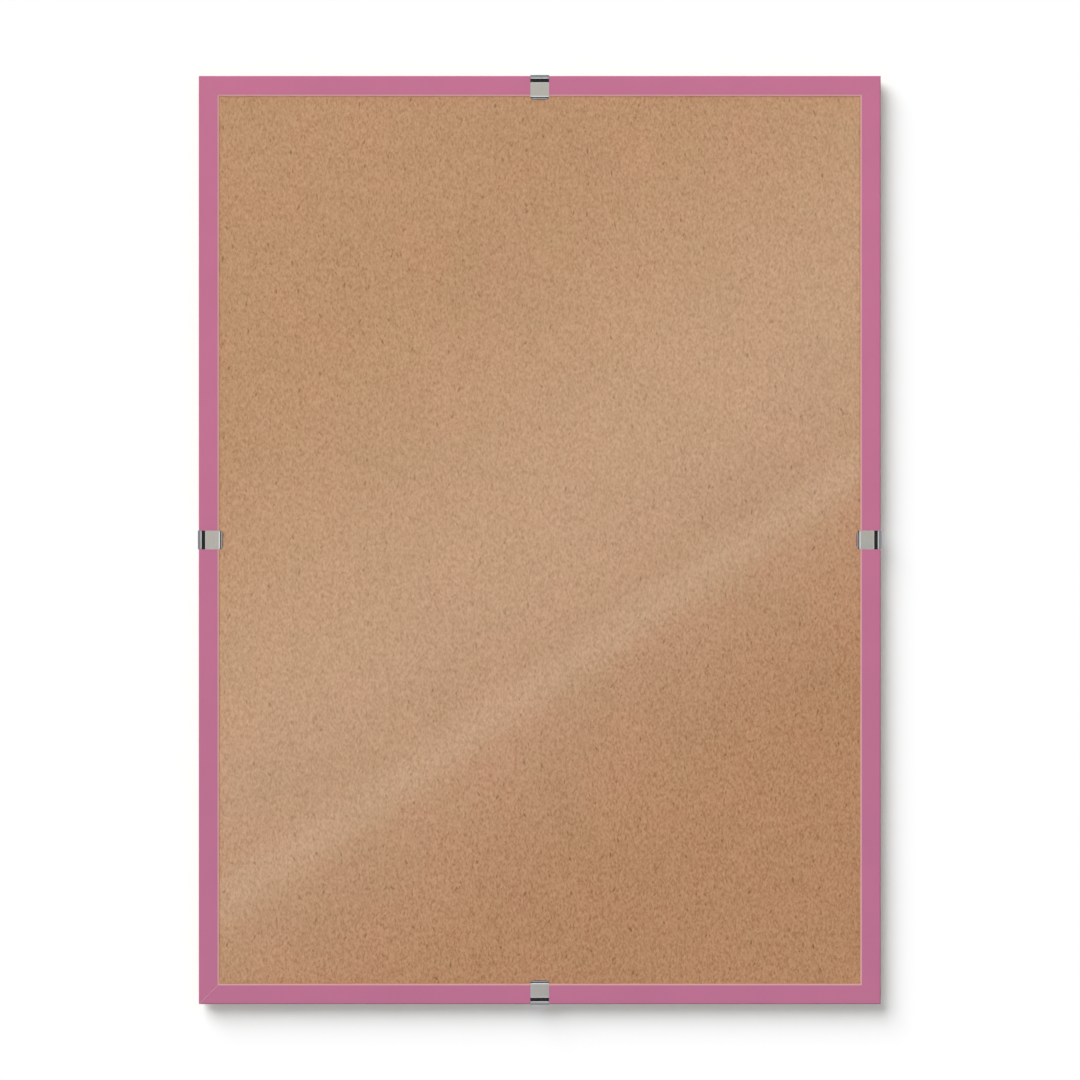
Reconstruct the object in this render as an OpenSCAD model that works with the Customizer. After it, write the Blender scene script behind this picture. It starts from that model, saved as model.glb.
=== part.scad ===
// Wall-hung clip frame: a fibreboard back panel and a glass pane of the same size, a mitred coloured
// border bonded to the front of the glass, four spring-steel clips that grip the stack, and two
// hanger plates on the back.
//
// Every piece is drawn lying on a bench: x to the right, y up the picture, z towards the viewer, with
// z = 0 on the back face of the panel. hung() then stands it up: +Z up, front facing -Y, the wall
// on the +Y side, and the origin in the hole of the portrait hanger, on the side that meets the wall.

/* [Frame] */
// Width of the frame, over the border
frame_w = 360; // [200:1:600]
// Height of the frame, over the border
frame_h = 490; // [240:1:800]

/* [Layers] */
// Thickness of the fibreboard back panel
board_t = 3; // [2.6:0.1:6]
// Thickness of the glass pane
glass_t = 2; // [1.2:0.1:4]
// Width of the ground chamfer along the edges of the glass
glass_arris = 0.3; // [0.1:0.05:0.5]
// Thickness of the double-sided tape under the border
tape_t = 0.15; // [0.05:0.05:0.5]
// Thickness of the border strips
border_t = 1; // [0.9:0.1:3]

/* [Border] */
// Width of a border strip
border_w = 10.8; // [8:0.1:30]
// Width of the bevel cut along the inner edge of a strip
bevel_w = 0.8; // [0.2:0.1:1.5]
// Height of that bevel
bevel_h = 0.1; // [0.05:0.05:0.8]
// Radius of the outer edge of a strip
edge_r = 0.6; // [0.1:0.05:0.9]
// Open joint between two strips at a mitre
mitre_gap = 0.06; // [0.02:0.02:0.3]
// Distance of the tape from both edges of its strip
tape_inset = 1.2; // [0.5:0.1:3]

/* [Clips] */
// Width of a clip
clip_w = 10; // [6:0.5:20]
// Thickness of the spring steel
clip_t = 0.4; // [0.3:0.05:0.8]
// How far the tongue reaches in from the outer edge of the frame
tongue_reach = 12.8; // [11:0.1:25]
// Radius of the curl of the tongue's lip, on its centreline
lip_r = 2.8; // [1.5:0.1:4]
// Angle that the lip curls up to, in degrees
lip_angle = 60; // [30:5:75]
// Distance of the tongue's ridge in from the outer edge of the frame
ridge_reach = 1.35; // [1.2:0.05:3]
// Height of the ridge above the flat of the tongue
ridge_rise = 1.45; // [1:0.05:2.5]
// Width of the slope from the ridge down to the flat
ridge_slope = 2.25; // [1.2:0.05:4]
// Height above the flat at which the web bends over to the ridge
shoulder_rise = 0.1; // [0:0.05:0.4]
// How far the back leg reaches in to the line where it bears on the panel
leg_reach = 17; // [12:0.5:30]
// Length of the leg's turned-up tip beyond that line
tip_run = 4; // [2:0.1:6]
// Height that the tip turns up, away from the panel
tip_rise = 1.5; // [0.5:0.1:2]
// How far the leg stands off the back face where it leaves the edge
leg_standoff = 1; // [0.6:0.1:2]
// Radius of a clip's corners, seen from the front
clip_corner_r = 1.6; // [0.5:0.1:3]
// Bend radius of the spring steel, on its centreline
bend_r = 0.8; // [0.5:0.05:1.2]
// Bend radius of the ridge, on its centreline
ridge_r = 0.5; // [0.45:0.05:0.8]
// Gap between a clip and the faces that it grips
grip_gap = 0.05; // [0.02:0.01:0.2]
// Gap between a clip and the edge of the stack
web_gap = 0.1; // [0.05:0.05:0.5]

/* [Clip seats in the panel] */
// Depth of the seat routed for a clip's leg
seat_d = 1; // [0.5:0.1:1.5]
// Play beside the leg, on each side of it
seat_play = 0.5; // [0.3:0.1:1.5]
// Play beyond the tip of the leg
seat_end_play = 1.5; // [0.5:0.1:4]
// Radius that the router leaves in the seat's inner corners
seat_r = 2; // [1:0.25:4]

/* [Hangers] */
// Distance of a hanger's hole from the edge above it
hanger_drop = 45; // [38:1:90]
// Distance from the back face of the panel to the back of the raised bridge
hanger_rise = 3.2; // [2.6:0.1:6]
// Thickness of the hanger's steel
hanger_t = 0.8; // [0.5:0.1:1.2]
// Length of the hanger plate, along the edge above it
hanger_l = 44; // [36:1:80]
// Width of the hanger plate
hanger_w = 14; // [12:1:25]
// Length of the bridge at its top
bridge_l = 16; // [12:1:25]
// Length that each ramp of the bridge covers
ramp_l = 4; // [2:0.5:8]
// Diameter of the hanging hole
hole_d = 6; // [4:0.5:8]
// Width of the notch that centres a nail in the hole
notch_w = 1.6; // [1:0.1:2]
// Depth of that notch, beyond the hole's edge
notch_d = 0.9; // [0.5:0.1:1.5]
// Radius of the plate's corners
hanger_corner_r = 2.5; // [1:0.5:5]
// Width of a prong
prong_w = 5; // [3:0.5:8]
// Thickness of panel left in front of a prong's tip
prong_skin = 0.8; // [0.5:0.1:1.5]
// Gap between a prong and its slot
prong_gap = 0.05; // [0:0.01:0.2]

/* [Hidden] */
$fn = 64;

// Turn about the bench's z axis that carries a piece drawn for the top edge to each side
top = 0;
left = 90;
bottom = 180;
right = 270;

// Heights of the layers above the back face of the panel
glass_z = board_t;
tape_z = glass_z + glass_t;
border_z = tape_z + tape_t;
stack_t = border_z + border_t;

// Seat for a clip's leg
seat_w = clip_w + 2 * seat_play;
seat_l = leg_reach + tip_run + seat_end_play;

// More than a clip reaches in front of or behind the middle of the stack
clip_rise = stack_t + ridge_rise + lip_r + leg_standoff + tip_rise + 2 * clip_t;

// Length of a prong below the plate, and the plate's bend radius on its centreline
prong_l = board_t - prong_skin;
hanger_bend_r = hanger_t;

// Straight steps in one bend
bend_steps = 8;

// How far a cutting or trimming shape reaches past what it cuts
overcut = 2;

// Distance from the middle of the frame to its edge on one side
function half_span(side) = (side == top || side == bottom) ? frame_h / 2 : frame_w / 2;

// Length of the frame's edge on one side
function edge_length(side) = (side == top || side == bottom) ? frame_w : frame_h;

function unit(v) = v / norm(v);

// Points of the arc that rounds corner p, between a and b, to radius r
function bend(a, p, b, r) =
    let (
        to_a = unit(a - p),
        to_b = unit(b - p),
        half = acos(to_a * to_b) / 2,
        centre = p + unit(to_a + to_b) * r / sin(half),
        from = p + to_a * r / tan(half) - centre,
        to = p + to_b * r / tan(half) - centre,
        start = atan2(from.y, from.x),
        turn = (atan2(to.y, to.x) - start + 540) % 360 - 180
    )
    [for (i = [0:bend_steps])
        let (angle = start + turn * i / bend_steps) centre + r * [cos(angle), sin(angle)]];

// A path through corners, with every inner corner rounded to its own radius
function rounded_path(corners, radii) =
    let (last = len(corners) - 1)
    concat(
        [corners[0]],
        [for (i = [1:last - 1], p = bend(corners[i - 1], corners[i], corners[i + 1], radii[i - 1])) p],
        [corners[last]]
    );

// Direction square to a path at point i, scaled so that an offset along it keeps its distance
function square_to(path, i) =
    let (
        last = len(path) - 1,
        before = unit(path[max(i, 1)] - path[max(i, 1) - 1]),
        after = unit(path[min(i, last - 1) + 1] - path[min(i, last - 1)]),
        along = unit(before + after)
    )
    [-along.y, along.x] / (along * after);

// Outline of sheet metal of thickness t whose middle follows a path
function sheet_outline(path, t) =
    let (last = len(path) - 1)
    concat(
        [for (i = [0:last]) path[i] + square_to(path, i) * t / 2],
        [for (i = [last:-1:0]) path[i] - square_to(path, i) * t / 2]
    );

// Stands a piece up from the bench
module hung() {
    translate([0, -hanger_rise, hanger_drop - frame_h / 2])
        rotate([90, 0, 0])
            children();
}

// Carries what is drawn beside the line y = 0, inboard on -y, to one side of the frame
module at_side(side) {
    rotate([0, 0, side])
        translate([0, half_span(side), 0])
            children();
}

// Extrudes an outline drawn in the (y, z) plane over a width centred on x = 0
module across(width) {
    rotate([90, 0, 90])
        linear_extrude(width, center = true)
            children();
}

// Back panel: routed seats for the clip legs and blind slots for the hanger prongs
module back_panel() {
    color("peru")
        difference() {
            translate([-frame_w / 2, -frame_h / 2, 0])
                cube([frame_w, frame_h, board_t]);
            for (side = [top, left, bottom, right])
                at_side(side) clip_seat();
            for (side = [top, right])
                at_side(side) prong_slots();
        }
}

// Seat for one leg, open at the edge, with the router's radius in its two inner corners
module clip_seat() {
    translate([0, 0, -overcut])
        linear_extrude(seat_d + overcut)
            tab(seat_w, seat_l, seat_r);
}

// Tab that comes in over the edge and ends in two corners of radius r
module tab(width, reach, r) {
    straight = reach - r;
    translate([-width / 2, -straight])
        square([width, straight + overcut]);
    translate([-width / 2 + r, -reach])
        square([width - 2 * r, reach]);
    for (x = [-1, 1] * (width / 2 - r))
        translate([x, -straight]) circle(r);
}

// Blind slots for the two prongs of one hanger
module prong_slots() {
    slot = [hanger_t, prong_w] + 2 * [prong_gap, prong_gap];
    for (x = [-1, 1] * (hanger_l - hanger_t) / 2)
        translate([x - slot.x / 2, -hanger_drop - slot.y / 2, -overcut])
            cube([slot.x, slot.y, prong_l + prong_gap + overcut]);
}

// Glass pane with a ground arris along all its edges
module glass_pane() {
    color("lightcyan", 0.4)
        translate([0, 0, glass_z])
            intersection() {
                across(frame_w) arrised_section(frame_h);
                rotate([0, 0, 90]) across(frame_h) arrised_section(frame_w);
            }
}

module arrised_section(width) {
    half = width / 2;
    inner = half - glass_arris;
    polygon([
        [-inner, 0], [inner, 0], [half, glass_arris], [half, glass_t - glass_arris],
        [inner, glass_t], [-inner, glass_t], [-half, glass_t - glass_arris], [-half, glass_arris]
    ]);
}

// Border strip of one side, mitred at both ends
module border_strip(side) {
    length = edge_length(side);
    round_centre = [-edge_r, border_t - edge_r];
    color("palevioletred")
        at_side(side)
            translate([0, 0, border_z])
                intersection() {
                    across(length)
                        polygon(concat(
                            [[-border_w, 0], [0, 0]],
                            [for (a = [0:90 / bend_steps:90]) round_centre + edge_r * [cos(a), sin(a)]],
                            [[-border_w + bevel_w, border_t], [-border_w, border_t - bevel_h]]
                        ));
                    linear_extrude(border_t)
                        mitred(length, 0, border_w, mitre_gap);
                }
}

// Double-sided tape between a strip and the glass
module bond_tape(side) {
    color("whitesmoke")
        at_side(side)
            translate([0, 0, tape_z])
                linear_extrude(tape_t)
                    mitred(edge_length(side), tape_inset, border_w - tape_inset, mitre_gap);
}

// Strip from depth near to depth far inboard of an edge, cut at 45 degrees where two sides meet
module mitred(length, near, far, gap) {
    back_off = gap / 2 * sqrt(2);
    polygon([
        [-length / 2 + near + back_off, -near], [length / 2 - near - back_off, -near],
        [length / 2 - far - back_off, -far], [-length / 2 + far + back_off, -far]
    ]);
}

// Spring clip of one side: tongue with ridge and lip in front, web over the edge, sprung leg behind
module clip(side) {
    color("silver")
        at_side(side)
            intersection() {
                across(clip_w) polygon(sheet_outline(clip_path(), clip_t));
                clip_plan();
            }
}

// Middle of the clip's steel, from the lip of the tongue round to the tip of the leg
function clip_path() =
    let (
        flat_z = stack_t + grip_gap + clip_t / 2,
        lip_y = -tongue_reach + lip_r * sin(lip_angle),
        curl = [for (i = [bend_steps:-1:1])
            let (a = lip_angle * i / bend_steps)
            [lip_y - lip_r * sin(a), flat_z + lip_r * (1 - cos(a))]],
        web_y = web_gap + clip_t / 2,
        heel_z = -leg_standoff - clip_t / 2,
        bearing_z = seat_d - grip_gap - clip_t / 2
    )
    concat(
        curl,
        rounded_path(
            [
                [lip_y, flat_z],
                [-ridge_reach - ridge_slope, flat_z],
                [-ridge_reach, flat_z + ridge_rise],
                [web_y, flat_z + shoulder_rise],
                [web_y, heel_z],
                [-leg_reach, bearing_z],
                [-leg_reach - tip_run, bearing_z - tip_rise]
            ],
            [bend_r, ridge_r, bend_r, bend_r, 3 * bend_r]
        )
    );

// Trimming shape that rounds the corners of the tongue, in front, and those of the leg, behind
module clip_plan() {
    middle_z = stack_t / 2;
    translate([0, 0, middle_z])
        linear_extrude(clip_rise)
            tab(clip_w, tongue_reach + clip_t / 2, clip_corner_r);
    translate([0, 0, middle_z - clip_rise])
        linear_extrude(clip_rise)
            tab(clip_w, leg_reach + tip_run + clip_t / 2, clip_corner_r);
}

// Hanger plate of one side: two feet on the panel, a prong at each end, and a raised, drilled bridge
module hanger(side) {
    color("gainsboro")
        at_side(side)
            translate([0, -hanger_drop, 0])
                union() {
                    difference() {
                        intersection() {
                            rotate([90, 0, 0])
                                linear_extrude(hanger_w, center = true)
                                    polygon(sheet_outline(hanger_path(), hanger_t));
                            translate([0, 0, -hanger_rise - overcut])
                                linear_extrude(hanger_rise + 2 * overcut) hanger_plan();
                        }
                        translate([0, 0, -hanger_rise - overcut])
                            linear_extrude(hanger_rise + 2 * overcut) hanging_hole();
                    }
                    for (x = [-1, 1] * (hanger_l - hanger_t) / 2)
                        translate([x - hanger_t / 2, -prong_w / 2, -hanger_t])
                            cube([hanger_t, prong_w, prong_l + hanger_t]);
                }
}

// Middle of the hanger's steel, from one foot over the bridge to the other
function hanger_path() =
    let (
        foot_z = -hanger_t / 2,
        bridge_z = -hanger_rise + hanger_t / 2,
        foot_x = bridge_l / 2 + ramp_l
    )
    rounded_path(
        [
            [-hanger_l / 2, foot_z], [-foot_x, foot_z], [-bridge_l / 2, bridge_z],
            [bridge_l / 2, bridge_z], [foot_x, foot_z], [hanger_l / 2, foot_z]
        ],
        [hanger_bend_r, hanger_bend_r, hanger_bend_r, hanger_bend_r]
    );

// Plan of the hanger plate, with rounded corners beside the prongs
module hanger_plan() {
    inner = [hanger_l, hanger_w] - 2 * [hanger_corner_r, hanger_corner_r];
    square([hanger_l, inner.y], center = true);
    square([inner.x, hanger_w], center = true);
    for (x = [-1, 1] * inner.x / 2, y = [-1, 1] * inner.y / 2)
        translate([x, y]) circle(hanger_corner_r);
}

// Round hole with a small notch in the edge that rests on the nail
module hanging_hole() {
    circle(d = hole_d);
    translate([-notch_w / 2, 0])
        square([notch_w, hole_d / 2 + notch_d - notch_w / 2]);
    translate([0, hole_d / 2 + notch_d - notch_w / 2])
        circle(d = notch_w);
}

hung() back_panel();
hung() glass_pane();
hung() border_strip(top);  // border_top
hung() border_strip(left);  // border_left
hung() border_strip(bottom);  // border_bottom
hung() border_strip(right);  // border_right
hung() bond_tape(top);  // bond_tape_top
hung() bond_tape(left);  // bond_tape_left
hung() bond_tape(bottom);  // bond_tape_bottom
hung() bond_tape(right);  // bond_tape_right
hung() clip(top);  // clip_top
hung() clip(left);  // clip_left
hung() clip(bottom);  // clip_bottom
hung() clip(right);  // clip_right
hung() hanger(top);  // hanger_portrait
hung() hanger(right);  // hanger_landscape
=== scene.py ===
"""Looks of the clip frame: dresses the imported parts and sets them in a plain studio.

The row frame is in metres: +Z up, the front faces -Y, and the wall is on the +Y side of the origin.
The border, the clips and the glass are rebuilt here with their fine edges, on the sizes that the
construction has. The panel, the hangers and the tapes keep their own meshes.
"""

import math

import bmesh
import bpy
from mathutils import Matrix, Vector


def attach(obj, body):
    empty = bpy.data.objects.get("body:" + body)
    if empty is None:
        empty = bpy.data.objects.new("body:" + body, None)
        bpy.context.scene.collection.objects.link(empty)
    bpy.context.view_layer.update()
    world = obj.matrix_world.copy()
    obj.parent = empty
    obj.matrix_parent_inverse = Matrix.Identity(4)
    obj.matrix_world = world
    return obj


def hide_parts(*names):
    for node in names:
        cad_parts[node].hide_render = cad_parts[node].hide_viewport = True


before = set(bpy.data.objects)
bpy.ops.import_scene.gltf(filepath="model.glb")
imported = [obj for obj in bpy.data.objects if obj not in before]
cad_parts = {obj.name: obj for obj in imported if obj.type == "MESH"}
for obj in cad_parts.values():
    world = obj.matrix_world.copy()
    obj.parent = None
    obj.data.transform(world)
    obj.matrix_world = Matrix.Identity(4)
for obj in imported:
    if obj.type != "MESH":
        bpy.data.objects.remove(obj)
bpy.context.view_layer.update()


def srgb(red, green, blue):
    """The linear colour of display values from 0 to 255."""
    def linear(value):
        v = value / 255
        return v / 12.92 if v <= 0.04045 else ((v + 0.055) / 1.055) ** 2.4
    return (linear(red), linear(green), linear(blue), 1)


MM = 0.001

# Sizes of the frame, in millimetres, as the construction has them
FRAME_W = 360
FRAME_H = 490
BOARD_T = 3
GLASS_T = 2
TAPE_T = 0.15
BORDER_T = 1
BORDER_W = 10.8
BEVEL_W = 0.8
BEVEL_H = 0.1
EDGE_R = 0.6
HANGER_RISE = 3.2
HANGER_DROP = 45
SEAT_D = 1
STACK_T = BOARD_T + GLASS_T + TAPE_T + BORDER_T
CENTRE_Z = HANGER_DROP - FRAME_H / 2

# Sizes of a clip, as the construction has them
CLIP_W = 10
CLIP_T = 0.4
TONGUE_REACH = 12.8
LIP_R = 2.8
LIP_ANGLE = 60
RIDGE_REACH = 1.35
RIDGE_RISE = 1.45
RIDGE_SLOPE = 2.25
SHOULDER_RISE = 0.1
LEG_REACH = 17
TIP_RUN = 4
TIP_RISE = 1.5
LEG_STANDOFF = 1
CLIP_CORNER_R = 1.6
BEND_R = 0.8
RIDGE_R = 0.5
TIP_BEND_R = 3 * BEND_R
GRIP_GAP = 0.05
WEB_GAP = 0.1

# Fine edges that only this model has, in millimetres
CLIP_EDGE_R = 0.09
CLIP_CURL = 0.05
CLIP_LONGEST_RUN = 0.5
CLIP_END_ANGLES = (80, 55, 30)
BEVEL_SOFT = 0.05
BEVEL_SOFT_RISE = 0.4
MITRE_GAP = 0.02
MITRE_DRAW = 1.4
FINE_MITRE = 0.01
OPEN_MITRE = 0.12
GLASS_ARRIS = 0.3
GLASS_CORNER_R = 0.8
GLASS_CLEARANCE = 0.03
BOARD_EDGE = 0.15
HANGER_EDGE = 0.12
WELD_DISTANCE = 0.002

# Turn of each side about the middle of the frame, and the distance of its edge from there
SIDES = {
    "top": (0, FRAME_H / 2),
    "left": (90, FRAME_W / 2),
    "bottom": (180, FRAME_H / 2),
    "right": (270, FRAME_W / 2),
}

# Fibreboard
BOARD_PINK = srgb(189, 139.2, 104.4)
BOARD_GREEN = srgb(185, 139.2, 102.4)
BOARD_FLECK = srgb(118, 76, 44)
BOARD_BACK = srgb(168, 128, 94)
BOARD_BACK_DARK = srgb(158, 120, 87)
BOARD_CUT = srgb(172, 134, 98)

# What the tops of the fibres and the hollows between them make of the board's colour. Blue changes
# most and red least, so that the display shows the same step in all three.
FIBRE_TOP = (1.185, 1.278, 1.4, 1)
FIBRE_HOLLOW = (0.746, 0.654, 0.558, 1)

# Strokes of fibre on the face: lean in degrees, width and length in millimetres
LEFT_STROKES = (16, 1.1, 2.15)
RIGHT_STROKES = (-13, 1.0, 2.0)
FINE_STROKES = (4, 0.32, 1.1)
FINE_SHARE = 0.5
FIBRE_SWAY = 2.2
HOLLOW_SHARPNESS = 1.35

# Scattered bundles: spacing, length and width in millimetres, share of the cells that hold one,
# and the most that one leans, in degrees
LARGE_FLECKS = (12, 2.9, 1.1, 0.5, 32)
SMALL_FLECKS = (4.6, 1.9, 0.8, 0.5, 40)
LARGE_FLECK_DEPTH = 0.62
SMALL_FLECK_DEPTH = 0.34
SCREEN_PITCH = 1.6

# Lacquer, and the heights from the frame's middle over which it turns to a darker tone towards the
# bottom: painted shade, as if less light fell lower down
LACQUER = srgb(191, 109, 142)
LACQUER_SHADED = srgb(183, 107, 140)
LACQUER_WORN = srgb(206, 134, 162)
LACQUER_SHADE_SPAN = (120, -190)
CORE = srgb(202, 159, 152)

# Tape, glass and metal
TAPE_CLEAR = srgb(214, 211, 203)
TAPE_MILKY = srgb(232, 230, 224)
GLASS_INDEX = 1.65
GLASS_TINT = (0.993, 1.0, 0.997, 1)
GROUND_GREEN = srgb(142, 178, 164)
GROUND_PALE = srgb(176, 205, 193)
STEEL = srgb(229, 226, 226)
STEEL_WARM = srgb(225, 221, 219)
STEEL_RUBBED = srgb(236, 235, 233)
FLAT_ROUGHNESS = 0.32
BEND_ROUGHNESS = 0.13
SCRATCH_TURN = 31
ZINC_DULL = srgb(188, 192, 197)
ZINC_BRIGHT = srgb(208, 209, 209)
SPANGLE = 1.3

# Studio, in metres. Lamps travel along the vectors, and their angles are in degrees.
WALL_LEVEL = 0.98
WALL_W = 10
WALL_H = 4
WALL_Y = 0.0005
FLOOR_LEVEL = 0.62
FLOOR_W = 10
FLOOR_Z = -1.1
AMBIENT = 0.25
BACKGROUND = 0.93
KEY_TRAVEL = (0.8, 1, -1.07)
KEY_STRENGTH = 3.15
KEY_ANGLE = 43
FILL_TRAVEL = (0, 1, 0)
FILL_STRENGTH = 0.56
FILL_ANGLE = 60
REAR_TRAVEL = (-0.4, -1, -0.6)
REAR_STRENGTH = 2.9
REAR_ANGLE = 60
SURROUND_R = 50

# Levels of the mirrored surround from square aside, at 0, to dead ahead, at 1: on the cross of
# strip lamps and between its arms. The cross is where the larger of x and z has this share of both.
CROSS_LEVELS = [
    (0.0, 0.4), (0.1, 0.35), (0.17, 0.22), (0.24, 0.16), (0.32, 0.02), (0.62, 0.02),
    (0.72, 1.0), (0.82, 1.35), (0.92, 1.2), (0.96, 0.75), (1.0, 0.7),
]
BETWEEN_LEVELS = [
    (0.0, 0.45), (0.1, 0.35), (0.17, 0.2), (0.24, 0.18), (0.32, 0.12), (0.5, 0.2),
    (0.72, 0.45), (0.9, 0.6), (1.0, 0.65),
]
CROSS_EDGE = (0.96, 0.99)
SURROUND_TINT = (0.9, 1.0, 1.1, 1)

# The soft box dead ahead. Its edge crosses the glass through two points of the mirrored view, given
# as sideways and upward steps for one step towards the viewer. Across that edge, from 0 to 1 over
# its span, the box's glow rises and fades again, its rim is brighter, and its light turns warmer.
BOX_EDGE_START = (-0.1067, -0.1233)
BOX_EDGE_END = (0.107, 0.0233)
BOX_SPAN = (-0.1, 0.15)
BOX_NEAR_AXIS = (0.968, 0.981)
BOX_GLOW = [(0.1, 0.0), (0.6, 0.8), (1.0, 0.4)]
BOX_RIM = [(0.35, 0.0), (0.4, 0.35), (0.45, 0.0)]
BOX_WARMING = (0.5, 1.0)
BOX_COOL = (0.95, 1.0, 0.85, 1)
BOX_WARM = (1.1, 1.0, 0.65, 1)

# Camera, in millimetres
VIEW_WIDTH = 570
LENS = 100
SENSOR = 36
CAMERA_SHIFT_X = 0.16


# Nodes

class Graph:
    """Adds nodes to one tree. An input that is a socket is linked, and any other value is set."""

    def __init__(self, tree):
        self.tree = tree
        tree.nodes.clear()

    def node(self, kind, inputs=None, **settings):
        node = self.tree.nodes.new("ShaderNode" + kind)
        for name, value in settings.items():
            setattr(node, name, value)
        for key, value in (inputs or {}).items():
            if isinstance(value, bpy.types.NodeSocket):
                self.tree.links.new(value, node.inputs[key])
            else:
                node.inputs[key].default_value = value
        return node

    def add(self, kind, inputs=None, output=0, **settings):
        return self.node(kind, inputs, **settings).outputs[output]

    def math(self, operation, a, b=0.0):
        return self.add("Math", {0: a, 1: b}, operation=operation)

    def vector(self, operation, a, b=(0, 0, 0)):
        return self.add("VectorMath", {0: a, 1: b}, operation=operation)

    def mix(self, factor, a, b, blend="MIX"):
        inputs = {0: factor, 6: a, 7: b}
        return self.add("Mix", inputs, output=2, data_type="RGBA", blend_type=blend)

    def blend_value(self, factor, a, b):
        return self.add("Mix", {0: factor, 2: a, 3: b}, data_type="FLOAT")

    def span(self, value, low, high, to_low=0.0, to_high=1.0, smooth=False):
        kind = "SMOOTHSTEP" if smooth else "LINEAR"
        inputs = {0: value, 1: low, 2: high, 3: to_low, 4: to_high}
        return self.add("MapRange", inputs, interpolation_type=kind)

    def noise(self, vector, size=1.0, detail=2.0, roughness=0.5, output="Fac"):
        """size is that of the largest features, in the vector's units."""
        inputs = {"Vector": vector, "Scale": 1 / size, "Detail": detail, "Roughness": roughness}
        return self.add("TexNoise", inputs, output=output)

    def axes(self, vector):
        node = self.node("SeparateXYZ", {0: vector})
        return node.outputs[0], node.outputs[1], node.outputs[2]

    def point(self, x, y, z):
        return self.add("CombineXYZ", {0: x, 1: y, 2: z})

    def curve(self, value, stops):
        """A smooth curve of greys through (place, level) stops."""
        node = self.node("ValToRGB", {0: value})
        node.color_ramp.interpolation = "EASE"
        elements = node.color_ramp.elements
        while len(elements) < len(stops):
            elements.new(0.5)
        for element, (place, level) in zip(elements, stops):
            element.position = place
            element.color = (level, level, level, 1)
        return node.outputs[0]

    def bump(self, height, distance, strength=1.0):
        """distance is in millimetres."""
        inputs = {"Height": height, "Distance": distance * MM, "Strength": strength}
        return self.add("Bump", inputs)

    def surface(self, shader):
        self.node("OutputMaterial", {"Surface": shader})


def new_material(name):
    material = bpy.data.materials.new(name)
    material.use_nodes = True
    return material, Graph(material.node_tree)


def millimetres(g):
    """Object coordinates in millimetres. Every piece sits at the origin, so they are the frame's."""
    place = g.add("TexCoord", output="Object")
    return g.vector("MULTIPLY", place, (1000, 1000, 1000))


def stretched(g, place, sizes):
    """The place in units of sizes, along x, y and z."""
    return g.vector("DIVIDE", place, sizes)


# Fibreboard

def flecks(g, place, spacing, length, width, share, lean):
    """Scattered fibre bundles, one at most in each cell: 1 on a bundle and 0 off it."""
    x, _, z = g.axes(place)
    plane = g.point(g.math("DIVIDE", x, spacing), g.math("DIVIDE", z, spacing), 0)
    cells = g.node("TexVoronoi", {"Vector": plane, "Scale": 1.0}, voronoi_dimensions="2D")
    chance, turn, size = g.axes(cells.outputs["Color"])
    local = g.vector("SUBTRACT", plane, cells.outputs["Position"])
    angle = g.span(turn, 0, 1, -math.radians(lean), math.radians(lean))
    turned = g.add("VectorRotate", {"Vector": local, "Angle": angle}, rotation_type="Z_AXIS")
    across, along, _ = g.axes(turned)
    scale = g.span(size, 0, 1, 0.6, 1.25)
    u = g.math("DIVIDE", across, g.math("MULTIPLY", scale, width / 2 / spacing))
    v = g.math("DIVIDE", along, g.math("MULTIPLY", scale, length / 2 / spacing))
    far = g.math("SQRT", g.math("ADD", g.math("MULTIPLY", u, u), g.math("MULTIPLY", v, v)))
    body = g.span(far, 0.45, 1.0, 1, 0, smooth=True)
    return g.math("MULTIPLY", body, g.math("LESS_THAN", chance, share))


def strokes(g, place, lean, width, length):
    """Noise drawn out into short strokes that lean from the vertical."""
    inputs = {"Vector": place, "Angle": math.radians(lean)}
    turned = g.add("VectorRotate", inputs, rotation_type="Y_AXIS")
    return g.noise(stretched(g, turned, (width, width, length)), detail=2, roughness=0.55)


def swayed(g, place):
    """The place, moved about a little so that the strokes wander."""
    wander = g.noise(place, size=6, detail=1, output="Color")
    centred = g.vector("SUBTRACT", wander, (0.5, 0.5, 0.5))
    return g.vector("ADD", place, g.vector("MULTIPLY", centred, (FIBRE_SWAY, FIBRE_SWAY, FIBRE_SWAY)))


def board_face(g, place):
    """Colour and fibre height of the smooth face."""
    place = swayed(g, place)
    left = strokes(g, place, *LEFT_STROKES)
    right = strokes(g, place, *RIGHT_STROKES)
    fine = strokes(g, place, *FINE_STROKES)
    mottle = g.math("ADD", left, right)
    mottle = g.math("ADD", mottle, g.math("MULTIPLY", fine, FINE_SHARE))
    hollow = g.math("POWER", g.span(mottle, 0.88, 1.62, 1, 0), HOLLOW_SHARPNESS)
    level = g.mix(hollow, FIBRE_TOP, FIBRE_HOLLOW)
    hue = g.noise(place, size=34, detail=2, roughness=0.6)
    tone = g.noise(g.vector("ADD", place, (310, 70, 190)), size=55, detail=2)
    base = g.mix(g.span(hue, 0.3, 0.7), BOARD_GREEN, BOARD_PINK)
    base = g.mix(1.0, base, g.span(tone, 0.3, 0.7, 0.98, 1.02), blend="MULTIPLY")
    colour = g.mix(1.0, base, level, blend="MULTIPLY")
    large = flecks(g, place, *LARGE_FLECKS)
    small = flecks(g, g.vector("ADD", place, (37, 0, 61)), *SMALL_FLECKS)
    colour = g.mix(g.math("MULTIPLY", small, SMALL_FLECK_DEPTH), colour, BOARD_FLECK)
    colour = g.mix(g.math("MULTIPLY", large, LARGE_FLECK_DEPTH), colour, BOARD_FLECK)
    return colour, mottle


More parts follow.
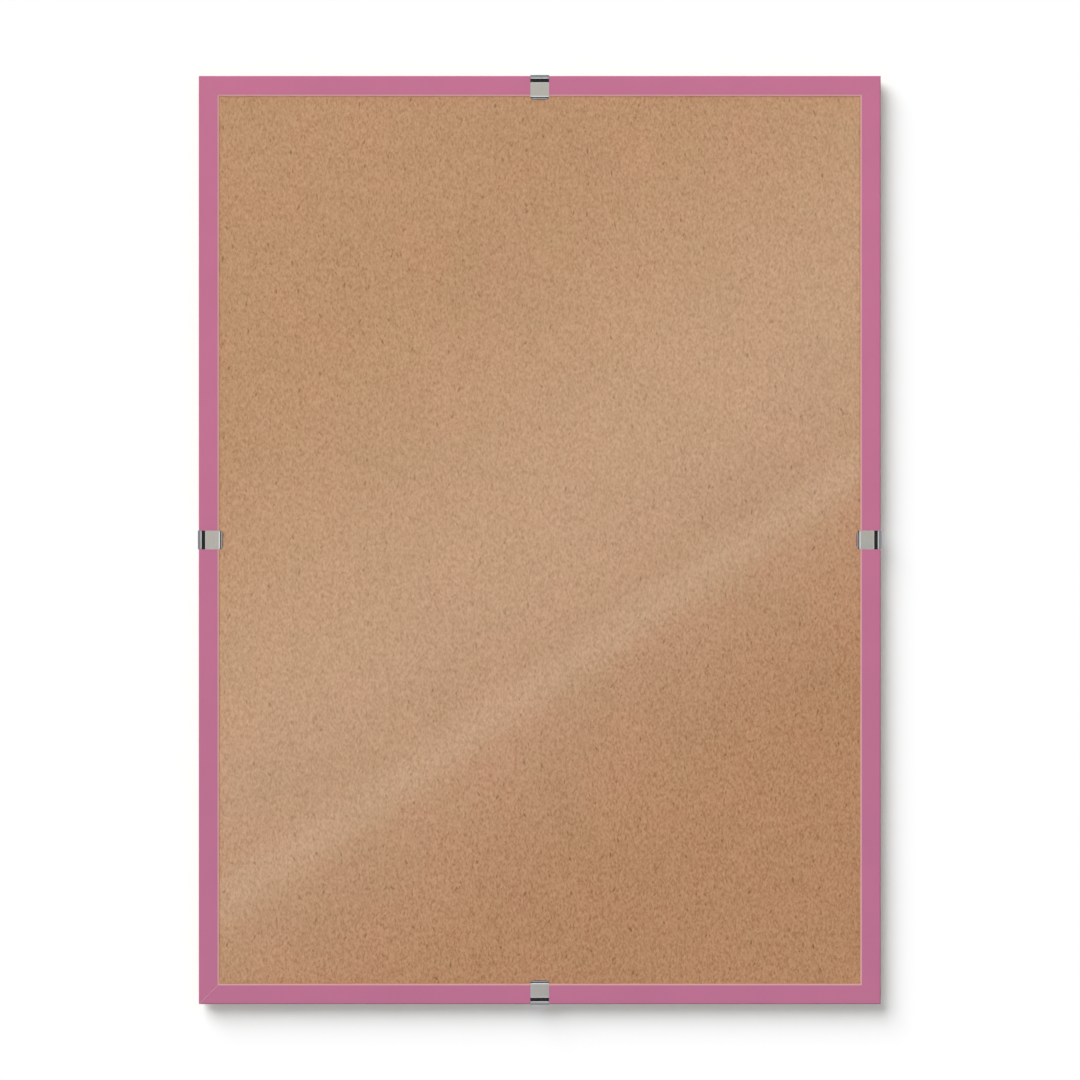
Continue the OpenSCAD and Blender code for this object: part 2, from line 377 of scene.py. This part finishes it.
def board_back(g, place):
    """Colour and height of the rougher back, with the imprint of the pressing screen."""
    x, _, z = g.axes(place)
    warp = g.math("MULTIPLY", g.noise(place, size=9, detail=1), 1.2)
    ribs = g.math("SINE", g.math("MULTIPLY", g.math("ADD", x, warp), 2 * math.pi / SCREEN_PITCH))
    rows = g.math("SINE", g.math("MULTIPLY", g.math("ADD", z, warp), 2 * math.pi / SCREEN_PITCH))
    screen = g.math("MULTIPLY", ribs, rows)
    fibres = g.noise(stretched(g, place, (0.5, 0.5, 0.9)), detail=4, roughness=0.65)
    height = g.math("ADD", g.math("MULTIPLY", screen, 0.35), fibres)
    level = g.span(height, 0.1, 0.9, 0.8, 1.12)
    clouds = g.noise(place, size=40, detail=3)
    base = g.mix(g.span(clouds, 0.35, 0.65), BOARD_BACK_DARK, BOARD_BACK)
    return g.mix(1.0, base, level, blend="MULTIPLY"), height


def board_cut(g, place):
    """Colour and height of sawn edges and routed seats: pale, fuzzy, streaked along the cut."""
    fuzz = g.noise(stretched(g, place, (0.35, 0.35, 0.35)), detail=4, roughness=0.7)
    streaks = g.noise(stretched(g, place, (6, 0.25, 6)), detail=2)
    height = g.math("ADD", fuzz, g.math("MULTIPLY", streaks, 0.8))
    level = g.span(height, 0.6, 1.2, 0.78, 1.1)
    return g.mix(1.0, BOARD_CUT, level, blend="MULTIPLY"), height


def fibreboard():
    """Wood-fibre board. The way a surface looks out tells the face, the back and the cuts apart,
    and its depth tells the floor of a seat from the back."""
    material, g = new_material("fibreboard")
    place = millimetres(g)
    _, out, _ = g.axes(g.add("TexCoord", output="Normal"))
    _, depth, _ = g.axes(place)
    is_back = g.math("GREATER_THAN", out, 0.5)
    is_face = g.math("LESS_THAN", out, -0.5)
    is_seat = g.math("LESS_THAN", depth, -HANGER_RISE - SEAT_D / 2)
    is_back = g.math("MULTIPLY", is_back, g.math("SUBTRACT", 1.0, is_seat))
    face_colour, face_height = board_face(g, place)
    back_colour, back_height = board_back(g, place)
    cut_colour, cut_height = board_cut(g, place)
    colour = g.mix(is_back, g.mix(is_face, cut_colour, face_colour), back_colour)
    height = g.blend_value(is_back, g.blend_value(is_face, cut_height, face_height), back_height)
    deep = g.blend_value(is_face, 1.0, 0.3)
    bump = g.bump(g.math("MULTIPLY", height, deep), 0.12)
    inputs = {"Base Color": colour, "Roughness": 0.85, "Normal": bump, "Specular IOR Level": 0.12}
    g.surface(g.add("BsdfPrincipled", inputs))
    return material


# Border and tape

def lacquer():
    """Matt sprayed lacquer on fibreboard: soft mottling, a fine orange peel, lighter rubbed edges,
    and painted shade that darkens it towards the bottom of the frame.
    """
    material, g = new_material("border_lacquer")
    place = millimetres(g)
    cloud = g.noise(place, size=28, detail=3, roughness=0.6)
    grain = g.noise(stretched(g, place, (0.45, 0.45, 0.45)), detail=3, roughness=0.6)
    peel = g.noise(place, size=1.1, detail=1)
    cloud_shade = g.span(cloud, 0.3, 0.7, 0.975, 1.02)
    shade = g.math("ADD", cloud_shade, g.span(grain, 0.3, 0.7, -0.012, 0.012))
    # Painted shade: the lacquer turns darker towards the bottom of the frame, as if less light fell
    # there.
    _, _, z = g.axes(place)
    shade_from, shade_to = LACQUER_SHADE_SPAN
    low = g.span(z, CENTRE_Z + shade_from, CENTRE_Z + shade_to, smooth=True)
    colour = g.mix(1.0, g.mix(low, LACQUER, LACQUER_SHADED), shade, blend="MULTIPLY")
    edge = g.add("NewGeometry", output="Pointiness")
    rubbed = g.span(edge, 0.56, 0.68, 0, 0.35, smooth=True)
    scuffs = g.span(g.noise(place, size=3.5, detail=4, roughness=0.7), 0.5, 0.66)
    colour = g.mix(g.math("MULTIPLY", rubbed, scuffs), colour, LACQUER_WORN)
    height = g.math("ADD", g.math("MULTIPLY", peel, 0.6), g.math("MULTIPLY", grain, 0.4))
    rough = g.span(g.noise(place, size=9, detail=4, roughness=0.65), 0.3, 0.7, 0.44, 0.56)
    inputs = {
        "Base Color": colour,
        "Roughness": rough,
        "Normal": g.bump(height, 0.03, 0.5),
        "Specular IOR Level": 0.35,
    }
    g.surface(g.add("BsdfPrincipled", inputs))
    return material


def core():
    """Pale fibres of the strip where the bevel is cut, tinted by the lacquer that soaked in."""
    material, g = new_material("border_core")
    place = millimetres(g)
    fuzz = g.noise(stretched(g, place, (0.3, 0.3, 0.3)), detail=4, roughness=0.7)
    runs = g.noise(place, size=7, detail=3)
    level = g.span(fuzz, 0.3, 0.7, 0.88, 1.08)
    tint = g.mix(g.span(runs, 0.35, 0.65, 0, 0.3), CORE, LACQUER_WORN)
    inputs = {
        "Base Color": g.mix(1.0, tint, level, blend="MULTIPLY"),
        "Roughness": 0.8,
        "Normal": g.bump(fuzz, 0.05),
        "Specular IOR Level": 0.25,
    }
    g.surface(g.add("BsdfPrincipled", inputs))
    return material


def tape():
    """Milky adhesive film, a little stringy where it was cut."""
    material, g = new_material("bond_tape")
    place = millimetres(g)
    haze = g.noise(place, size=2.5, detail=4, roughness=0.65)
    strings = g.noise(stretched(g, place, (0.2, 0.08, 0.2)), detail=2)
    inputs = {
        "Base Color": g.mix(g.span(haze, 0.35, 0.65), TAPE_CLEAR, TAPE_MILKY),
        "Roughness": g.span(strings, 0.3, 0.7, 0.4, 0.6),
        "Normal": g.bump(strings, 0.02),
    }
    g.surface(g.add("BsdfPrincipled", inputs))
    return material


# Glass and metal

def clear_glass():
    """Float glass: each face mirrors a little and lets the rest straight through. Lamps and
    diffuse light pass whole, so that the board behind is lit as if bare."""
    material, g = new_material("glass")
    behind = g.add("NewGeometry", output="Backfacing")
    index = g.blend_value(behind, GLASS_INDEX, 1 / GLASS_INDEX)
    mirrored = g.add("Fresnel", {"IOR": index})
    shadow = g.add("LightPath", output="Is Shadow Ray")
    diffuse = g.add("LightPath", output="Is Diffuse Ray")
    seen = g.math("SUBTRACT", 1.0, g.math("MAXIMUM", shadow, diffuse))
    gloss = g.add("BsdfGlossy", {"Color": (1, 1, 1, 1), "Roughness": 0.0})
    clear = g.add("BsdfTransparent", {"Color": GLASS_TINT})
    g.surface(g.add("MixShader", {0: g.math("MULTIPLY", mirrored, seen), 1: clear, 2: gloss}))
    return material


def ground_glass():
    """Ground edge of the pane: frosted, with the green of the glass seen along its depth."""
    material, g = new_material("glass_edge")
    place = millimetres(g)
    grind = g.noise(stretched(g, place, (3, 0.12, 3)), detail=3, roughness=0.6)
    chips = g.noise(place, size=0.8, detail=3, roughness=0.7)
    height = g.math("ADD", grind, g.math("MULTIPLY", chips, 0.5))
    inputs = {
        "Base Color": g.mix(g.span(grind, 0.3, 0.7), GROUND_GREEN, GROUND_PALE),
        "Roughness": 0.42,
        "IOR": 1.5,
        "Transmission Weight": 0.55,
        "Normal": g.bump(height, 0.02),
    }
    g.surface(g.add("BsdfPrincipled", inputs))
    return material


def spring_steel():
    """Nickel-plated strip, dull on its flats and burnished by the tool where it is bent, with
    rubbed edges and light scratches."""
    material, g = new_material("spring_steel")
    place = millimetres(g)
    tumble = g.noise(place, size=0.5, detail=4, roughness=0.65)
    cloud = g.noise(place, size=4, detail=3, roughness=0.6)
    turn = {"Vector": place, "Angle": math.radians(SCRATCH_TURN)}
    turned = g.add("VectorRotate", turn, rotation_type="Y_AXIS")
    hairs = g.noise(stretched(g, turned, (0.06, 1, 3)), detail=2)
    scratch = g.span(hairs, 0.66, 0.74)
    edge = g.add("NewGeometry", output="Pointiness")
    rubbed = g.span(edge, 0.53, 0.62, smooth=True)
    colour = g.mix(g.span(cloud, 0.3, 0.7), STEEL, STEEL_WARM)
    colour = g.mix(g.math("MULTIPLY", rubbed, 0.6), colour, STEEL_RUBBED)
    _, out, _ = g.axes(g.add("TexCoord", output="Normal"))
    flat = g.span(g.math("ABSOLUTE", out), 0.95, 0.99, smooth=True)
    rough = g.blend_value(flat, BEND_ROUGHNESS, FLAT_ROUGHNESS)
    rough = g.math("ADD", rough, g.span(tumble, 0.3, 0.7, -0.04, 0.04))
    rough = g.math("ADD", rough, g.math("MULTIPLY", scratch, 0.08))
    height = g.math("SUBTRACT", g.math("MULTIPLY", tumble, 0.5), g.math("MULTIPLY", scratch, 0.3))
    inputs = {
        "Base Color": colour,
        "Metallic": 1.0,
        "Roughness": rough,
        "Normal": g.bump(height, 0.003),
    }
    g.surface(g.add("BsdfPrincipled", inputs))
    return material


def zinc_plate():
    """Blue-bright zinc on stamped steel: faint spangle, dull patches, handling marks."""
    material, g = new_material("zinc_plate")
    place = millimetres(g)
    spangle = g.add("TexVoronoi", {"Vector": place, "Scale": 1 / SPANGLE}, output="Color")
    grain, _, _ = g.axes(spangle)
    dull = g.noise(place, size=6, detail=4, roughness=0.65)
    fine = g.noise(place, size=0.3, detail=3)
    colour = g.mix(g.span(dull, 0.35, 0.65), ZINC_DULL, ZINC_BRIGHT)
    colour = g.mix(1.0, colour, g.span(grain, 0, 1, 0.96, 1.02), blend="MULTIPLY")
    rough = g.math("ADD", g.span(dull, 0.3, 0.7, 0.3, 0.44), g.math("MULTIPLY", grain, 0.05))
    inputs = {
        "Base Color": colour,
        "Metallic": 1.0,
        "Roughness": rough,
        "Normal": g.bump(fine, 0.01),
    }
    g.surface(g.add("BsdfPrincipled", inputs))
    return material


# Meshes

def new_object(name, bm, materials):
    mesh = bpy.data.meshes.new(name)
    bm.to_mesh(mesh)
    bm.free()
    for material in materials:
        mesh.materials.append(material)
    made = bpy.data.objects.new(name, mesh)
    bpy.context.scene.collection.objects.link(made)
    return made


def even_normals(piece):
    even = piece.modifiers.new("even_normals", "WEIGHTED_NORMAL")
    even.mode = "FACE_AREA_WITH_ANGLE"


def new_piece(name, bm, materials, body, replaced):
    """Makes a smooth mesh object of bm that rides on a body and stands for a CAD node."""
    bmesh.ops.recalc_face_normals(bm, faces=bm.faces)
    piece = new_object(name, bm, materials)
    for polygon in piece.data.polygons:
        polygon.use_smooth = True
    even_normals(piece)
    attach(piece, body)
    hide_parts(replaced)
    return piece


def stand_matrix():
    """Carries points drawn about the frame's middle, z from the panel's back, to the row frame."""
    stand = Matrix.Translation(Vector((0, -HANGER_RISE, CENTRE_Z)) * MM)
    return stand @ Matrix.Rotation(math.radians(90), 4, "X")


def side_matrix(side):
    """Carries points drawn beside an edge, inboard on -y, z from the panel's back, to the frame."""
    turn, half = SIDES[side]
    turned = stand_matrix() @ Matrix.Rotation(math.radians(turn), 4, "Z")
    return turned @ Matrix.Translation((0, half * MM, 0))


def add_rings(bm, rings, matrix):
    """Skins closed rings of points, in millimetres, and caps the first and the last. Returns the
    faces of each band, with the two caps as the last band."""
    made = [[bm.verts.new(matrix @ (Vector(p) * MM)) for p in ring] for ring in rings]
    bands = []
    for one, two in zip(made, made[1:]):
        count = len(one)
        quads = [(one[i], one[(i + 1) % count], two[(i + 1) % count], two[i]) for i in range(count)]
        bands.append([bm.faces.new(quad) for quad in quads])
    bands.append([bm.faces.new(made[0]), bm.faces.new(made[-1])])
    return bands


def arc(x, y, radius, start, turn, steps):
    """Points of an arc about (x, y). start and turn are in degrees."""
    angles = [math.radians(start + turn * i / steps) for i in range(steps + 1)]
    return [(x + radius * math.cos(t), y + radius * math.sin(t)) for t in angles]


# Clips

def unit(v):
    return v / v.length


def bend(a, p, b, radius, steps=14):
    """Points of the arc that rounds corner p, between a and b."""
    to_a = unit(a - p)
    to_b = unit(b - p)
    half = to_a.angle(to_b) / 2
    centre = p + unit(to_a + to_b) * radius / math.sin(half)
    start = p + to_a * radius / math.tan(half) - centre
    end = p + to_b * radius / math.tan(half) - centre
    first = math.atan2(start.y, start.x)
    turn = (math.atan2(end.y, end.x) - first + 3 * math.pi) % (2 * math.pi) - math.pi
    angles = [first + turn * i / steps for i in range(steps + 1)]
    return [centre + radius * Vector((math.cos(t), math.sin(t))) for t in angles]


def lip_path(lip_y, flat_z, steps=20):
    """The curl at the tongue's end, from its tip to where the flat begins."""
    angles = [math.radians(LIP_ANGLE) * i / steps for i in range(steps, 0, -1)]
    return [Vector((lip_y - LIP_R * math.sin(t), flat_z + LIP_R * (1 - math.cos(t)))) for t in angles]


def clip_path():
    """Middle of the clip's steel in the (y, z) plane, from the lip round to the tip of the leg."""
    flat_z = STACK_T + GRIP_GAP + CLIP_T / 2
    lip_y = -TONGUE_REACH + LIP_R * math.sin(math.radians(LIP_ANGLE))
    web_y = WEB_GAP + CLIP_T / 2
    heel_z = -LEG_STANDOFF - CLIP_T / 2
    bearing_z = SEAT_D - GRIP_GAP - CLIP_T / 2
    corners = [
        Vector((lip_y, flat_z)),
        Vector((-RIDGE_REACH - RIDGE_SLOPE, flat_z)),
        Vector((-RIDGE_REACH, flat_z + RIDGE_RISE)),
        Vector((web_y, flat_z + SHOULDER_RISE)),
        Vector((web_y, heel_z)),
        Vector((-LEG_REACH, bearing_z)),
        Vector((-LEG_REACH - TIP_RUN, bearing_z - TIP_RISE)),
    ]
    radii = [BEND_R, RIDGE_R, BEND_R, BEND_R, TIP_BEND_R]
    path = lip_path(lip_y, flat_z) + [corners[0]]
    for i, radius in enumerate(radii, 1):
        path += bend(corners[i - 1], corners[i], corners[i + 1], radius)
    return path + [corners[-1]]


def resampled(path, longest):
    """The path with its long runs cut into pieces no longer than this."""
    points = [path[0]]
    for one, two in zip(path, path[1:]):
        count = max(1, math.ceil((two - one).length / longest))
        points += [one.lerp(two, i / count) for i in range(1, count + 1)]
    return points


def end_width(distance):
    """Half the clip's width at a distance, seen from the front, from one of its ends."""
    short = CLIP_CORNER_R - min(max(distance, 0), CLIP_CORNER_R)
    return CLIP_W / 2 - CLIP_CORNER_R + math.sqrt(CLIP_CORNER_R ** 2 - short ** 2)


def clip_section(half_w, half_t, edge_r):
    """Rounded section of the strip as (across, out) points, slightly hollow across its width."""
    inner_w = half_w - edge_r
    inner_t = half_t - edge_r
    run = [inner_w * i / 5 for i in range(-4, 5)]
    outline = arc(inner_w, inner_t, edge_r, 0, 90, 4)
    outline += [(x, half_t) for x in reversed(run)]
    outline += arc(-inner_w, inner_t, edge_r, 90, 90, 4)
    outline += arc(-inner_w, -inner_t, edge_r, 180, 90, 4)
    outline += [(x, -half_t) for x in run]
    outline += arc(inner_w, -inner_t, edge_r, 270, 90, 4)
    return [(x, z - CLIP_CURL * (2 * x / CLIP_W) ** 2) for x, z in outline]


def clip_stations():
    """Places along the strip, each with its way along, half its width and its inset."""
    path = resampled(clip_path(), CLIP_LONGEST_RUN)
    last = len(path) - 1
    stations = []
    for i, p in enumerate(path):
        along = unit(path[min(i + 1, last)] - path[max(i - 1, 0)])
        end = -TONGUE_REACH if i < last / 2 else -LEG_REACH - TIP_RUN
        stations.append((p, along, end_width(p.x - end), 0.0))
    return stations


def rounded_end(station, sign):
    """Stations that round off one end of the strip, from its end face inwards."""
    p, along, half_w, _ = station
    rounding = [math.radians(a) for a in CLIP_END_ANGLES]
    grown = [sign * CLIP_EDGE_R * (1 - math.sin(a)) for a in rounding]
    shrunk = [CLIP_EDGE_R * (1 - math.cos(a)) for a in rounding]
    return [(p + along * step, along, half_w, inset) for step, inset in zip(grown, shrunk)]


def clip_rings():
    """Rings of points, in millimetres, that the clip's surface runs through."""
    stations = clip_stations()
    start = rounded_end(stations[0], 1)
    finish = rounded_end(stations[-1], -1)
    rings = []
    for p, along, half_w, inset in start + stations[1:-1] + finish[::-1]:
        out = Vector((-along.y, along.x))
        section = clip_section(half_w - inset, CLIP_T / 2 - inset, CLIP_EDGE_R - inset * 0.9)
        rings.append([(x, p.x + out.x * z, p.y + out.y * z) for x, z in section])
    return rings


def make_clip(side, material):
    bm = bmesh.new()
    add_rings(bm, clip_rings(), side_matrix(side))
    name = "clip_" + side
    return new_piece(name + "_strip", bm, [material], name, name)


# Border

def border_profile(inset):
    """Section of a strip as (y, z) points, from its inner foot round to its outer foot."""
    top = BORDER_T - inset
    low = BORDER_T - BEVEL_H
    soft_rise = BEVEL_SOFT * BEVEL_SOFT_RISE
    return [
        (-BORDER_W + inset, 0),
        (-BORDER_W + inset, low - BEVEL_SOFT),
        (-BORDER_W + inset + BEVEL_SOFT, low + soft_rise),
        (-BORDER_W + BEVEL_W - BEVEL_SOFT, top - soft_rise),
        (-BORDER_W + BEVEL_W + BEVEL_SOFT, top),
        *arc(-EDGE_R, BORDER_T - EDGE_R, EDGE_R - inset, 90, -90, 6),
        (-inset, 0),
    ]


def mitre_rings(side, sign, chamfer):
    """The two rings that break the edge of one mitre, from its end face inwards."""
    length = FRAME_W if side in ("top", "bottom") else FRAME_H
    base_z = BOARD_T + GLASS_T + TAPE_T
    back_off = MITRE_GAP / 2 * math.sqrt(2)
    rings = []
    for inset, draw in ((chamfer, 0), (0, chamfer * MITRE_DRAW)):
        profile = border_profile(inset)
        reach = length / 2
        rings.append([(sign * (reach + y - back_off - draw), y, base_z + z) for y, z in profile])
    return rings


def make_border(side, materials, chamfers):
    """One mitred strip. chamfers are the widths of the broken edges at its two mitres. The second
    material shows on the underside, the inner side, the bevel and the mitres."""
    start = mitre_rings(side, -1, chamfers[0])
    finish = mitre_rings(side, 1, chamfers[1])
    bm = bmesh.new()
    start_edge, run, finish_edge, caps = add_rings(bm, start + finish[::-1], side_matrix(side))
    bare = {0, 1, 2, 3, len(run) - 1}
    for i, face in enumerate(run):
        face.material_index = 1 if i in bare else 0
    for face in start_edge + finish_edge + caps:
        face.material_index = 1
    name = "border_" + side
    return new_piece(name + "_strip", bm, materials, "frame", name)


# Glass

def rounded_outline(inset):
    """Outline of the pane as (x, y) points, drawn in by inset, with its corners nipped round."""
    half_w = FRAME_W / 2 - inset
    half_h = FRAME_H / 2 - inset
    radius = GLASS_CORNER_R - inset
    points = []
    for sx, sy, start in ((1, 1, 0), (-1, 1, 90), (-1, -1, 180), (1, -1, 270)):
        points += arc(sx * (half_w - radius), sy * (half_h - radius), radius, start, 90, 4)
    return points


def make_glass(clear, edge):
    back = BOARD_T + GLASS_CLEARANCE
    front = BOARD_T + GLASS_T - GLASS_CLEARANCE
    levels = [
        (GLASS_ARRIS, back), (0, back + GLASS_ARRIS), (0, front - GLASS_ARRIS), (GLASS_ARRIS, front),
    ]
    rings = [[(x, y, z) for x, y in rounded_outline(inset)] for inset, z in levels]
    bm = bmesh.new()
    bands = add_rings(bm, rings, stand_matrix())
    for band in bands[:-1]:
        for face in band:
            face.material_index = 1
    return new_piece("glass_sheet", bm, [clear, edge], "frame", "glass_pane")


# Carried-over nodes

def dress(node, material, edge=0.0):
    """Gives a CAD node its material and, with edge in millimetres, softly broken edges."""
    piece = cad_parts[node]
    piece.data.materials.clear()
    piece.data.materials.append(material)
    if edge:
        weld = piece.modifiers.new("weld", "WELD")
        weld.merge_threshold = WELD_DISTANCE * MM
        soften = piece.modifiers.new("soften", "BEVEL")
        soften.width = edge * MM
        soften.segments = 2
        soften.limit_method = "ANGLE"
        soften.angle_limit = math.radians(30)
        soften.harden_normals = False
        even_normals(piece)
    return piece


# Studio

def flat_square(name, width, height, matrix, material):
    bm = bmesh.new()
    bmesh.ops.create_grid(bm, x_segments=1, y_segments=1, size=0.5)
    bm.transform(matrix @ Matrix.Diagonal((width, height, 1, 1)))
    square = new_object(name, bm, [material])
    return square


def wall_material():
    """White paint, seen through from behind. Lamps behind it and what metal mirrors at the back
    reach the part through it."""
    material, g = new_material("wall")
    paint = g.add("BsdfDiffuse", {"Color": (WALL_LEVEL, WALL_LEVEL, WALL_LEVEL, 1)})
    clear = g.add("BsdfTransparent")
    camera = g.add("LightPath", output="Is Camera Ray")
    shadow = g.add("LightPath", output="Is Shadow Ray")
    depth = g.add("LightPath", output="Ray Depth")
    behind = g.add("NewGeometry", output="Backfacing")
    from_behind = g.math("MULTIPLY", camera, behind)
    first_shadow = g.math("MULTIPLY", shadow, g.math("LESS_THAN", depth, 0.5))
    other = g.math("SUBTRACT", 1.0, g.math("MAXIMUM", camera, shadow))
    first_bounce = g.math("MULTIPLY", other, g.math("LESS_THAN", depth, 1.5))
    open_to = g.math("MAXIMUM", from_behind, g.math("MAXIMUM", first_shadow, first_bounce))
    g.surface(g.add("MixShader", {0: open_to, 1: paint, 2: clear}))
    return material


def floor_material():
    """Pale speckled floor, seen through from below."""
    material, g = new_material("floor")
    speck = g.noise(g.add("TexCoord", output="Object"), size=0.025, detail=3)
    level = g.span(speck, 0.3, 0.7, FLOOR_LEVEL - 0.01, FLOOR_LEVEL + 0.01)
    paint = g.add("BsdfDiffuse", {"Color": level})
    clear = g.add("BsdfTransparent")
    camera = g.add("LightPath", output="Is Camera Ray")
    behind = g.add("NewGeometry", output="Backfacing")
    g.surface(g.add("MixShader", {0: g.math("MULTIPLY", camera, behind), 1: paint, 2: clear}))
    return material


def ring_levels(g, x, z, facing):
    """The cross of strip lamps, and what lies between its arms."""
    cross = g.curve(facing, CROSS_LEVELS)
    between = g.curve(facing, BETWEEN_LEVELS)
    wide = g.math("MAXIMUM", g.math("ABSOLUTE", x), g.math("ABSOLUTE", z))
    radius = g.math("SQRT", g.math("ADD", g.math("MULTIPLY", x, x), g.math("MULTIPLY", z, z)))
    share = g.math("DIVIDE", wide, g.math("MAXIMUM", radius, 0.001))
    return g.mix(g.span(share, *CROSS_EDGE), between, cross)


def soft_box(g, x, ahead, z):
    """Colour of the soft box, by the distance across its edge."""
    ahead = g.math("MAXIMUM", ahead, 0.05)
    u = g.math("DIVIDE", x, ahead)
    v = g.math("DIVIDE", z, ahead)
    run = Vector(BOX_EDGE_END) - Vector(BOX_EDGE_START)
    square = Vector((-run.y, run.x)).normalized()
    offset = square.dot(Vector(BOX_EDGE_START))
    s = g.math("ADD", g.math("MULTIPLY", u, square.x), g.math("MULTIPLY", v, square.y))
    place = g.span(g.math("SUBTRACT", s, offset), *BOX_SPAN)
    level = g.math("ADD", g.curve(place, BOX_GLOW), g.curve(place, BOX_RIM))
    tint = g.mix(g.span(place, *BOX_WARMING), BOX_COOL, BOX_WARM)
    return g.mix(1.0, level, tint, blend="MULTIPLY")


def surround_material():
    """What metal and glass mirror: a soft box dead ahead, a cross of strip lamps around it, and
    little light from the sides."""
    material, g = new_material("surround")
    x, y, z = g.axes(g.vector("NORMALIZE", g.add("TexCoord", output="Object")))
    facing = g.math("ABSOLUTE", y)
    ahead = g.math("MULTIPLY", y, -1.0)
    ring = ring_levels(g, x, z, facing)
    box = soft_box(g, x, ahead, z)
    level = g.mix(g.span(ahead, *BOX_NEAR_AXIS, smooth=True), ring, box)
    level = g.mix(1.0, level, g.mix(facing, SURROUND_TINT, (1, 1, 1, 1)), blend="MULTIPLY")
    g.surface(g.add("Emission", {"Color": level, "Strength": 1.0}))
    material.cycles.emission_sampling = "NONE"
    return material


def make_surround():
    bm = bmesh.new()
    bmesh.ops.create_icosphere(bm, subdivisions=3, radius=SURROUND_R)
    surround = new_object("surround", bm, [surround_material()])
    surround.location = (0, 0, CENTRE_Z * MM)
    surround.visible_camera = False
    surround.visible_diffuse = False
    surround.visible_transmission = False
    surround.visible_shadow = False
    surround.visible_volume_scatter = False


def make_sun(name, travel, strength, angle):
    data = bpy.data.lights.new(name, "SUN")
    data.energy = strength
    data.angle = math.radians(angle)
    sun = bpy.data.objects.new(name, data)
    sun.rotation_euler = Vector(travel).to_track_quat("-Z", "Y").to_euler()
    sun.visible_glossy = False
    bpy.context.scene.collection.objects.link(sun)
    return sun


def linked(name, objects, state):
    """A collection that a lamp includes or excludes."""
    group = bpy.data.collections.new(name)
    for piece in objects:
        group.objects.link(piece)
    for entry in group.collection_objects:
        entry.light_linking.link_state = state
    return group


def make_lamps(stack, raised, pieces):
    """A lamp from the upper left, an even light from the front that leaves no shadow, and a lamp
    for the back. The first is two lamps alike, one for the stack's face and one for all else. The
    one for the face takes no notice of the raised parts, so that no dark line runs along the
    border, as in the photograph."""
    key = make_sun("key", KEY_TRAVEL, KEY_STRENGTH, KEY_ANGLE)
    key.light_linking.receiver_collection = linked("key_skips", stack, "EXCLUDE")
    face = make_sun("key_face", KEY_TRAVEL, KEY_STRENGTH, KEY_ANGLE)
    face.light_linking.receiver_collection = linked("key_face_lights", stack, "INCLUDE")
    face.light_linking.blocker_collection = linked("key_face_passes", raised, "EXCLUDE")
    fill = make_sun("fill", FILL_TRAVEL, FILL_STRENGTH, FILL_ANGLE)
    fill.light_linking.blocker_collection = linked("fill_passes", pieces, "EXCLUDE")
    make_sun("rear", REAR_TRAVEL, REAR_STRENGTH, REAR_ANGLE)


def make_world():
    """Even light at one level, and a pale background at another."""
    world = bpy.data.worlds.new("studio")
    world.use_nodes = True
    bpy.context.scene.world = world
    g = Graph(world.node_tree)
    camera = g.add("LightPath", output="Is Camera Ray")
    glossy = g.add("LightPath", output="Is Glossy Ray")
    through = g.add("LightPath", output="Is Transmission Ray")
    seen = g.math("MAXIMUM", camera, g.math("MAXIMUM", glossy, through))
    level = g.blend_value(seen, AMBIENT, BACKGROUND)
    background = g.add("Background", {"Color": level, "Strength": 1.0})
    g.node("OutputWorld", {"Surface": background})


def make_studio():
    upright = Matrix.Translation((0, WALL_Y, FLOOR_Z + WALL_H / 2))
    upright = upright @ Matrix.Rotation(math.radians(90), 4, "X")
    flat_square("wall", WALL_W, WALL_H, upright, wall_material())
    level = Matrix.Translation((0, 0, FLOOR_Z))
    floor = flat_square("floor", FLOOR_W, FLOOR_W, level, floor_material())
    floor.visible_glossy = False
    floor.visible_diffuse = False
    floor.visible_shadow = False
    make_surround()
    make_world()


def make_camera():
    """Looks square at the frame, so that the border's face is VIEW_WIDTH millimetres across."""
    data = bpy.data.cameras.new("camera")
    data.lens = LENS
    data.sensor_width = SENSOR
    camera = bpy.data.objects.new("camera", data)
    distance = VIEW_WIDTH * LENS / SENSOR
    front = -HANGER_RISE - STACK_T
    camera.location = Vector((CAMERA_SHIFT_X, front - distance, CENTRE_Z)) * MM
    camera.rotation_euler = (math.radians(90), 0, 0)
    bpy.context.scene.collection.objects.link(camera)
    bpy.context.scene.camera = camera


make_camera()
bpy.context.scene.view_settings.view_transform = "Standard"

board = fibreboard()
strip_materials = [lacquer(), core()]
steel = spring_steel()
zinc = zinc_plate()
film = tape()

panel = dress("back_panel", board, BOARD_EDGE)
hangers = [dress(node, zinc, HANGER_EDGE) for node in ("hanger_portrait", "hanger_landscape")]
pane = make_glass(clear_glass(), ground_glass())
strips = [
    make_border("top", strip_materials, (FINE_MITRE, FINE_MITRE)),
    make_border("left", strip_materials, (FINE_MITRE, OPEN_MITRE)),
    make_border("bottom", strip_materials, (FINE_MITRE, OPEN_MITRE)),
    make_border("right", strip_materials, (FINE_MITRE, FINE_MITRE)),
]
clips = [make_clip(side, steel) for side in SIDES]
tapes = [dress("bond_tape_" + side, film) for side in SIDES]

make_studio()
stack = [panel, pane, *strips]
raised = [*strips, *clips, *tapes]
make_lamps(stack, raised, [panel, pane, *raised, *hangers])
